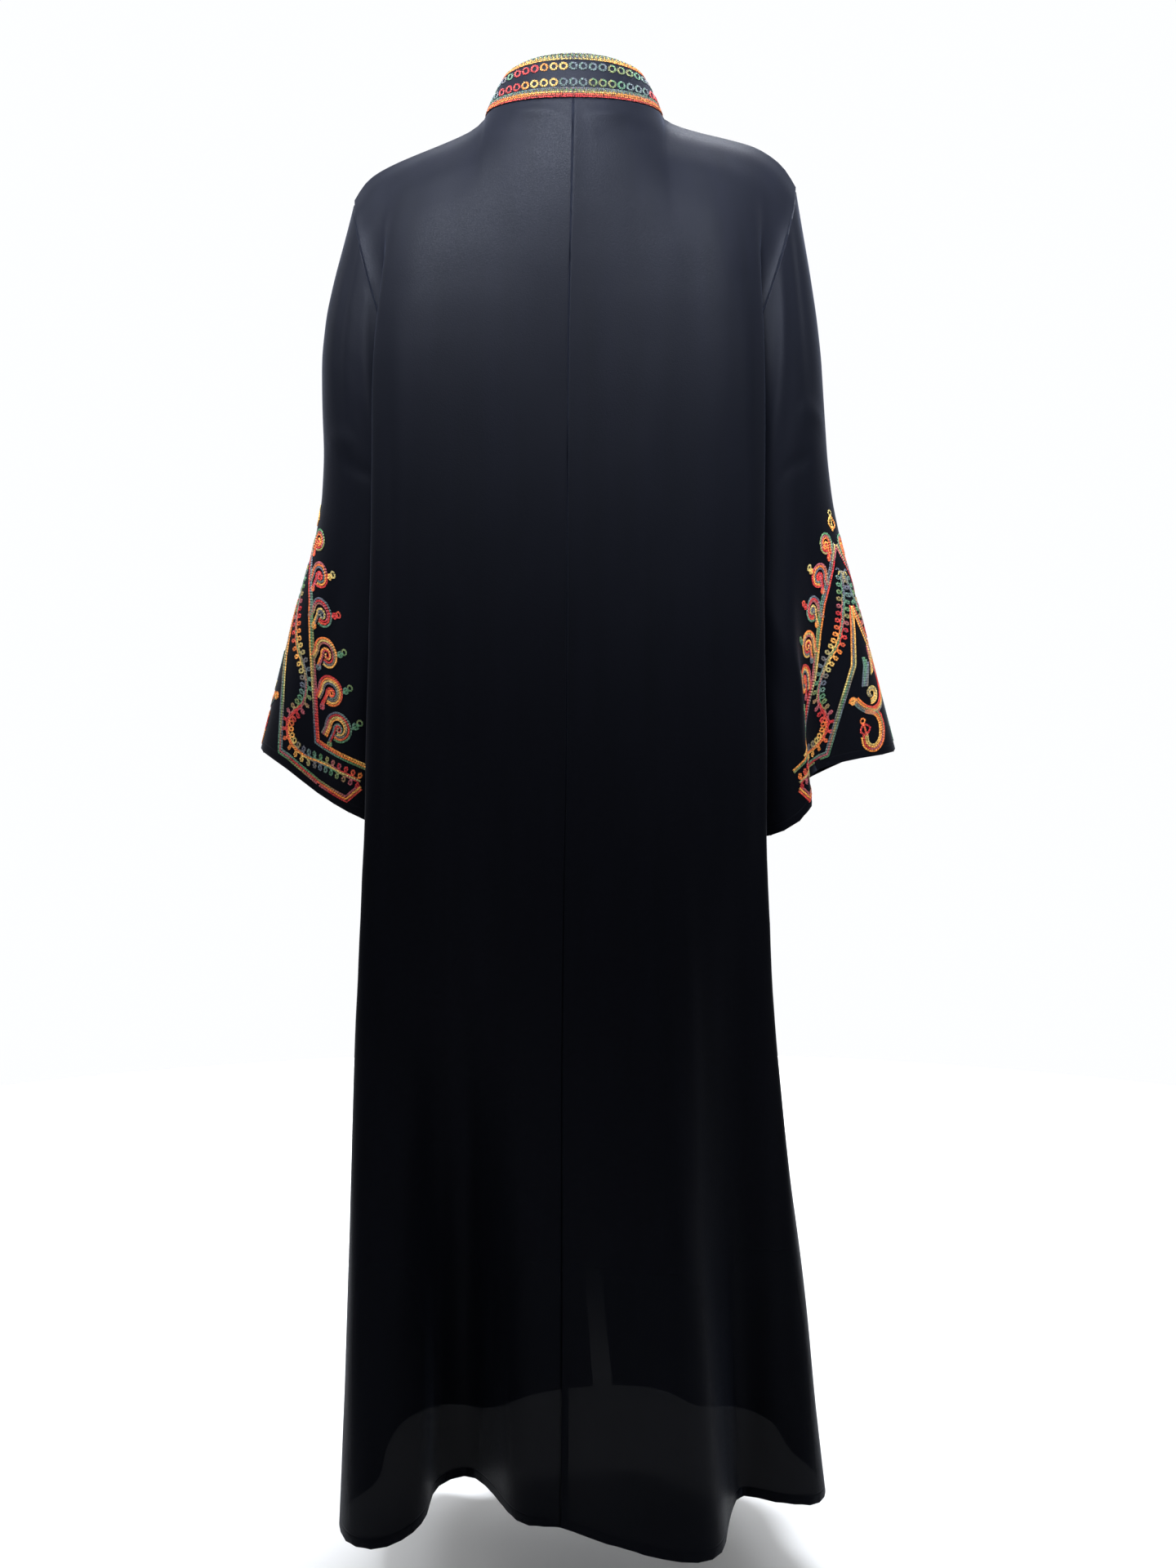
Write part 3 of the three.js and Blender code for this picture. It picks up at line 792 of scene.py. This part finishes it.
def variegated(name, painted_shade_scale, contrast):
    """The dyes along the thread, all lightened or darkened alike as painted shade, with flecks of some
    contrast.
    """
    thread = new_material(name)
    length = add_node(thread, "Attribute", {"attribute_name": "thread_mm"}).outputs["Fac"]
    turns = add_node(thread, "Math", {"operation": "DIVIDE"}, [(0, length), (1, DYE_REPEAT)])
    part = add_node(thread, "Math", {"operation": "FRACT"}, [(0, turns.outputs[0])])
    dyes = add_node(thread, "ValToRGB", fac=part.outputs[0])
    while len(dyes.color_ramp.elements) < len(DYES):
        dyes.color_ramp.elements.new(0.5)
    for element, (code, position) in zip(dyes.color_ramp.elements, DYES.values()):
        element.position = position
        element.color = linear(code)
    place = add_node(thread, "TexCoord").outputs["Object"]
    flecks = add_node(thread, "TexNoise", vector=place, scale=1 / (FLECK * MM), detail=3.0)
    # The flecks, scaled by this copy's painted shade.
    mottle_and_shade = add_node(
        thread,
        "MapRange",
        value=flecks.outputs["Fac"],
        from_min=0.33,
        from_max=0.67,
        to_min=(1 - contrast) * painted_shade_scale,
        to_max=(1 + contrast) * painted_shade_scale,
    )
    # The dyes, flecked and darkened by painted shade.
    flecked_shaded_dyes = add_node(
        thread,
        "VectorMath",
        {"operation": "SCALE"},
        vector=dyes.outputs["Color"],
        scale=mottle_and_shade.outputs[0],
    )
    twist = add_node(thread, "Bump", strength=0.5, distance=0.3 * MM, height=flecks.outputs["Fac"])
    silky = add_node(
        thread,
        "BsdfPrincipled",
        base_color=flecked_shaded_dyes.outputs[0],
        roughness=0.5,
        specular_ior_level=0.2,
        normal=twist.outputs["Normal"],
    )
    return finish_material(thread, silky)


# The same dyes twice, darkened as painted shade: the collar's to a quarter, the cuffs' a little.
cuff_thread = variegated("variegated_mercerised_cotton", 0.84, 0.6)
shaded_collar_thread = variegated("fine_mercerised_cotton", 0.25, 0.95)

# %% [markdown]
# ## Chain stitch
# The embroidery is worked in rows of chain stitch. Each stitch is a loop, and from a little way off one
# link looks like two plump strands that splay out from the last one. The link is made once, and a copy
# is laid down for each stitch, turned along its row and lifted to lie on the cloth.

# %% One link of chain stitch
STITCH = 2.7  # mm from one link to the next
CORD = 2.0  # mm, the width of a row


def make_link():
    bm = bmesh.new()
    for way in (-1, 1):
        strand = bmesh.ops.create_icosphere(bm, subdivisions=1, radius=0.5)["verts"]
        bmesh.ops.scale(bm, vec=(0.5, 1.25, 0.62), verts=strand)
        bmesh.ops.rotate(bm, matrix=Matrix.Rotation(math.radians(-20 * way), 3, "Z"), verts=strand)
        bmesh.ops.translate(bm, vec=(0.25 * way, 0, 0.12), verts=strand)
    link = bpy.data.meshes.new("chain_stitch_link")
    bm.to_mesh(link)
    bm.free()
    for polygon in link.polygons:
        polygon.use_smooth = True
    link.attributes.new("thread_mm", "FLOAT", "POINT")
    return link


link = make_link()
print("one link has", len(link.polygons), "faces")


# %% Lines on flat cloth
def evenly_spaced(points, pitch):
    """Points along a flat line, one pitch apart."""
    spaced, left = [Vector(points[0])], pitch
    for a, b in zip(points, points[1:]):
        a, b = Vector(a), Vector(b)
        span = (b - a).length
        while span >= left:
            a = a.lerp(b, left / span)
            span -= left
            spaced.append(a.copy())
            left = pitch
        left -= span
    return spaced


def sideways(points, distance):
    """A flat line moved to the right of its way. Corners stay sharp."""
    moved = []
    for i, point in enumerate(points):
        ways = [
            (Vector(b) - Vector(a)).normalized()
            for a, b in ((points[max(i - 1, 0)], point), (point, points[min(i + 1, len(points) - 1)]))
            if Vector(a) != Vector(b)
        ]
        sides = [Vector((way.y, -way.x)) for way in ways]
        side = sum(sides, Vector((0, 0))).normalized()
        moved.append(Vector(point) + side * distance / max(side.dot(sides[0]), 0.4))
    return moved


def curve_through(points, steps=10):
    """A smooth flat line through a few points."""
    ends = [Vector(p) for p in points]
    ends = [2 * ends[0] - ends[1]] + ends + [2 * ends[-1] - ends[-2]]
    line = []
    for a, b, c, d in zip(ends, ends[1:], ends[2:], ends[3:]):
        for t in (i / steps for i in range(steps)):
            bend = (2 * a - 5 * b + 4 * c - d) * t**2 + (3 * b - a - 3 * c + d) * t**3
            line.append(0.5 * (2 * b + (c - a) * t + bend))
    return line + [ends[-2]]


def spiral(centre, start_radius, end_radius, start, turned):
    """A flat spiral or arc. Angles are in degrees: 0 is along, 90 is up, and turned may be negative."""
    points = []
    for i in range(61):
        angle = math.radians(start + turned * i / 60)
        radius = start_radius + (end_radius - start_radius) * i / 60
        points.append(Vector(centre) + radius * Vector((math.cos(angle), math.sin(angle))))
    return points


def looped(points, off, radius, pitch):
    """A cursive row of loops beside a line, like a string of the letter e."""
    line, fine = [], evenly_spaced(points, 0.7)
    for i, point in enumerate(fine):
        way = (fine[min(i + 1, len(fine) - 1)] - fine[max(i - 1, 0)]).normalized()
        side = Vector((way.y, -way.x)) * (1 if off > 0 else -1)
        turn = 2 * math.pi * 0.7 * i / pitch
        line.append(point + side * (abs(off) + radius * math.cos(turn)) - way * radius * math.sin(turn))
    return line


# %% Sew the lines on the curved cloth
class Embroidery:
    """Chain stitch on one piece of cloth. Its flat places go through a chart to the cloth."""

    def __init__(self, name, chart, cloth, lay=lambda along, up: (along, up)):
        self.name, self.chart, self.lay = name, chart, lay
        bm = bmesh.new()
        bm.from_mesh(cloth.data)
        self.surface = BVHTree.FromBMesh(bm)
        bm.free()
        self.bm = bmesh.new()
        self.thread = 0.0
        self.links = 0

    def dye(self, name, nudge=0):
        """Winds the thread on to a dye."""
        self.thread = DYES[name][1] * DYE_REPEAT + nudge

    def line(self, points, width=CORD, pitch=STITCH, dyed=None):
        """A row of links through flat points. The thread runs on from the last row, unless dyed gives
        the length of thread at a flat place."""
        flat = evenly_spaced(points, pitch)
        found = [self.surface.find_nearest(self.chart.point(*self.lay(*p))) for p in flat]
        last = len(found) - 1
        for i, (place, normal, *_) in enumerate(found):
            if dyed:
                self.thread = dyed(flat[i].x)
            way = (found[min(i + 1, last)][0] - found[max(i - 1, 0)][0]).normalized()
            side = way.cross(normal).normalized()
            up = side.cross(way)
            turn = Matrix((side, way, up)).transposed().to_4x4()
            size = Matrix.Diagonal((width * MM, pitch * 1.1 * MM, width * 0.8 * MM, 1))
            copy = link.copy()
            copy.transform(Matrix.Translation(place + up * 0.2 * MM) @ turn @ size)
            copy.attributes["thread_mm"].data.foreach_set("value", [self.thread] * len(copy.vertices))
            self.bm.from_mesh(copy)
            bpy.data.meshes.remove(copy)
            self.thread += pitch
            self.links += 1

    def band(self, points, dye_names, apart=2.4, **more):
        """Rows side by side along one line, each from its own dye."""
        for k, name in enumerate(dye_names):
            self.dye(name)
            self.line(sideways(points, (k - (len(dye_names) - 1) / 2) * apart), **more)

    def finish(self, thread):
        mesh = bpy.data.meshes.new(self.name)
        self.bm.to_mesh(mesh)
        self.bm.free()
        mesh.materials.append(thread)
        sewn = bpy.data.objects.new(self.name, mesh)
        bpy.context.scene.collection.objects.link(sewn)
        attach(sewn, "root")
        print(self.name, "has", self.links, "links and", len(mesh.polygons), "triangles")
        return sewn


# %% [markdown]
# ## The sleeve panels
# Each cuff carries a tall A of two framed bands on either side of the outer line. A vine edged with
# loops winds down between the frames. Crook scrolls stand outside the inner frame, each a little smaller
# than the one below, most with a leaf, and an S scroll fills the middle.


# %% The motifs
def leaf(work, root, angle, size, dye_name):
    """A pointed leaf of three strokes with a small ring at its tip."""
    way = Vector((math.cos(math.radians(angle)), math.sin(math.radians(angle))))
    side = Vector((-way.y, way.x)) * size * 0.42
    root = Vector(root)
    work.dye(dye_name)
    for bulge in (side, -side, side * 0):
        work.line(curve_through([root, root + way * size * 0.45 + bulge, root + way * size]))
    work.line(spiral(root + way * (size + 2.5), 2.7, 2.7, angle + 180, 330), width=1.7, pitch=1.9)


def crook(work, centre, radius, outer_dyes, hook_dyes, knot):
    """A crook scroll. A band climbs from the frame and bends over, and a hook curls inside it."""
    centre = Vector(centre)
    for k, name in enumerate(outer_dyes):
        bend = spiral(centre, radius - 2.35 * k, radius * 0.74 - 2.35 * k, 200, -300)
        foot = centre + Vector((-radius * 1.04 + 2.35 * k, -radius * 0.8))
        work.dye(name)
        work.line([foot] + bend)
    for k, name in enumerate(hook_dyes):
        start = max(radius - 2.35 * len(outer_dyes) - 1.2 - 2.3 * k, 2.2)
        curl = spiral(centre + Vector((0.4, -1)), start, 1.1, 215, -430)
        work.dye(name)
        stem = [centre + Vector((-radius * 0.42 + 2.1 * k, -radius)), curl[0]]
        work.line(stem + curl[1:])
    work.dye(knot)
    work.line(spiral(centre + Vector((-radius * 0.34, -radius * 1.18)), 3, 1.2, 90, -540), pitch=2.1)


def vine(work, points):
    """A single row with loops all along both sides."""
    centre = curve_through(points, 16)
    work.dye("umber")
    work.line(centre)
    for off, name, nudge in ((4.6, "orange", 60), (-4.6, "slate", 0)):
        work.dye(name, nudge)
        work.line(looped(centre, off, 3.4, 8.0), width=1.8, pitch=2.0)


def s_scroll(work):
    """The S scroll and the small bars that fill the middle of the A."""
    upper = curve_through([(-13, 104), (-21, 88), (-24, 71), (-18, 56), (-5, 50), (8, 55), (17, 63)])
    lower = curve_through([(3, 52), (-11, 47), (-18, 33), (-16, 17), (-7, 9), (3, 13), (6, 24)])
    for distance, name in ((-3.5, "rose"), (-1.2, "red"), (1.2, "orange"), (3.5, "gold")):
        work.dye(name)
        work.line(sideways(upper, distance))
    for k, name in enumerate(("gold", "straw", "gold")):
        work.dye(name)
        work.line(spiral((-4, 69), 11 - 2.4 * k, 3 - k, 270, -370))
    for distance, name in ((-3.5, "orange"), (-1.2, "coral"), (1.2, "green"), (3.5, "red")):
        work.dye(name)
        work.line(sideways(lower, distance))
    for k, name in enumerate(("slate", "sage", "slate", "umber")):
        work.dye(name)
        work.line([(8 - 2.3 * k, 78), (4 - 2.3 * k, 110 - 2 * k)])
    for k, name in enumerate(("olive", "gold", "olive")):
        work.dye(name)
        work.line([(-6 - 2.3 * k, 90 + 2 * k), (-8 - 2 * k, 120)])
    work.dye("orange")
    work.line(spiral((20, 62), 4.2, 1.2, 0, 700), pitch=2.2)
    leaf(work, (3, 24), 72, 14, "red")


# %% Lay out one side of a sleeve panel
OUTER_FRAME = [(1, 164), (8, 138), (18, 104), (34, 60), (50, 13), (104, 12), (143, 12), (153, 31)]
INNER_FRAME = [(2, 230), (16, 204), (36, 172), (56, 128), (76, 84), (91, 50), (155, 54)]
VINE = [(1, 202), (12, 166), (30, 128), (56, 102), (62, 76), (50, 48), (60, 29), (82, 27)]
VINE += [(108, 34), (152, 37)]
CROOKS = [
    # centre, radius, dyes of the band from the outside in, then of the hook, the knot and the leaf
    ((112, 77), 17.5, ("umber", "rose", "gold", "orange"), ("slate", "red"), "green", "sage"),
    ((91, 107), 17, ("rose", "coral", "gold", "umber"), ("red", "coral"), "rose", "sage"),
    ((73, 139), 16, ("coral", "gold", "olive"), ("orange", "rose"), "slate", "sage"),
    ((54, 171), 15, ("umber", "rose", "olive"), ("gold", "umber"), "orange", "red"),
    ((37, 202), 14, ("olive", "coral", "umber"), ("red", "rose"), "coral", "gold"),
    ((20, 232), 12.5, ("sage", "olive", "coral"), ("orange", "red"), "coral", None),
]


def inner_frame_at(up):
    """How far from the outer line the inner frame stands at a height."""
    for (a0, u0), (a1, u1) in zip(INNER_FRAME, INNER_FRAME[1:]):
        if u1 <= up <= u0:
            return a0 + (a1 - a0) * (u0 - up) / (u0 - u1)
    return 0


RIGHT_TURN = 30  # mm that the right cuff hangs turned towards the back
RIGHT_LEAN = 0.3  # more of that for each mm below LEAN_FROM
LEAN_FROM = 100  # mm above the hem
DRAWN_IN = 0.3  # of what stands beyond the right cuff's inner frame


def sleeve_panel(side, half):
    """half is 1 for the side of the A towards the back, and -1 for its mirror image."""

    def lay(along, up):
        if side == "left":
            return half * along, up
        turn = RIGHT_TURN + RIGHT_LEAN * max(0, LEAN_FROM - up)
        beyond = max(0, along - inner_frame_at(up) - 3) if up > INNER_FRAME[-1][1] else 0
        return turn + half * (along - DRAWN_IN * beyond), up

    name = f"sleeve_{side}_{'back' if half > 0 else 'front'}_embroidery"
    work = Embroidery(name, charts[side], cloths["sleeve_" + side], lay)
    work.band(OUTER_FRAME, ("coral", "straw", "orange"))
    work.band(INNER_FRAME, ("umber", "straw", "rose"))
    vine(work, VINE)
    for (centre, radius, outer_dyes, hook_dyes, knot, tip), angle in zip(CROOKS, (62, 56, 52, 50, 60, 0)):
        crook(work, centre, radius, outer_dyes, hook_dyes, knot)
        if tip:
            leaf(work, Vector(centre) + Vector((0.86, 0.5)) * radius, angle, 0.42 * radius, tip)
    if half > 0:
        s_scroll(work)
        leaf(work, (0, 246), 90, 15, "orange")
    return work.finish(cuff_thread)


for side in ("left", "right"):
    for half in (1, -1):
        sleeve_panel(side, half)

# %% [markdown]
# ## The collar
# The band has a border of close rows at each edge, and two lines of small rings between them. The rows
# are placed by their share of the band's height. Most are flecked: every other stitch takes a second dye.

# %% Work the collar
COLLAR_ROWS = [
    # share of the height, dye at the middle of the back, mm of thread for each mm out from there, and
    # mm of thread between every other stitch, which flecks the row
    (0.985, "slate", -0.5, 80),
    (0.94, "umber", -0.9, 72),
    (0.9, "slate", -1.1, -28),
    (0.86, "umber", -1.1, -24),
    (0.2, "slate", 0.6, -24),
    (0.16, "umber", 0.5, 80),
    (0.12, "umber", -1.0, -22),
    (0.075, "coral", 0.5, 0),
    (0.03, "red", 0.5, 0),
]
RINGS = {
    # share of the height: how many rings of each dye, from the wearer's left to right, with the ninth
    # ring at the middle of the back
    0.69: (
        ["umber", "sage"] + 3 * ["red"] + ["orange"] + 2 * ["gold"] + 4 * ["slate"] + 3 * ["green"]
        + ["sage", "slate"]
    ),
    0.33: (
        3 * ["red"] + ["orange"] + 3 * ["gold"] + 3 * ["slate"] + 3 * ["green"] + ["sage"]
        + 3 * ["slate"]
    ),
}
RING_PITCH = 10  # mm
RING_RADIUS = 3.4  # mm
BORDER_STITCH = 2.2  # mm


def collar_up(along, share):
    """The height of a share of the band, at a distance from the middle of the back."""
    column = collar.find(collar.around[0], along + collar.around[0][-1] / 2)
    i = min(int(column), len(collar.columns) - 2)
    return share * collar.mix([[rise[-1]] for rise in collar.rises], column)[0]


def collar_panel():
    work = Embroidery("collar_embroidery", collar, cloths["collar_band"])

    def reach(share):
        return collar.mix(collar.around, share * (collar.rows - 1))[-1] / 2 - 3

    for share, name, rate, fleck in COLLAR_ROWS:
        steps = [reach(share) * i / 60 for i in range(-60, 61)]
        start = DYES[name][1] * DYE_REPEAT
        work.line(
            [(along, collar_up(along, share)) for along in steps],
            width=1.8,
            pitch=BORDER_STITCH,
            dyed=lambda along: start + rate * abs(along) + fleck * (round(along / BORDER_STITCH) % 2),
        )
    for share, names in RINGS.items():
        count = int((reach(share) - 4) / RING_PITCH)
        for i in range(-count, count + 1):
            along = -i * RING_PITCH
            work.dye(names[(i + 8) % len(names)], 4)
            spot = (along, collar_up(along, share))
            ring = spiral(spot, RING_RADIUS, RING_RADIUS, 90, 345)
            tall = [(x, spot[1] + 1.15 * (y - spot[1])) for x, y in ring]
            work.line(tall, width=2.2, pitch=2.15)
    # The collar's thread is the copy darkened most, as painted shade.
    return work.finish(shaded_collar_thread)


collar_panel()
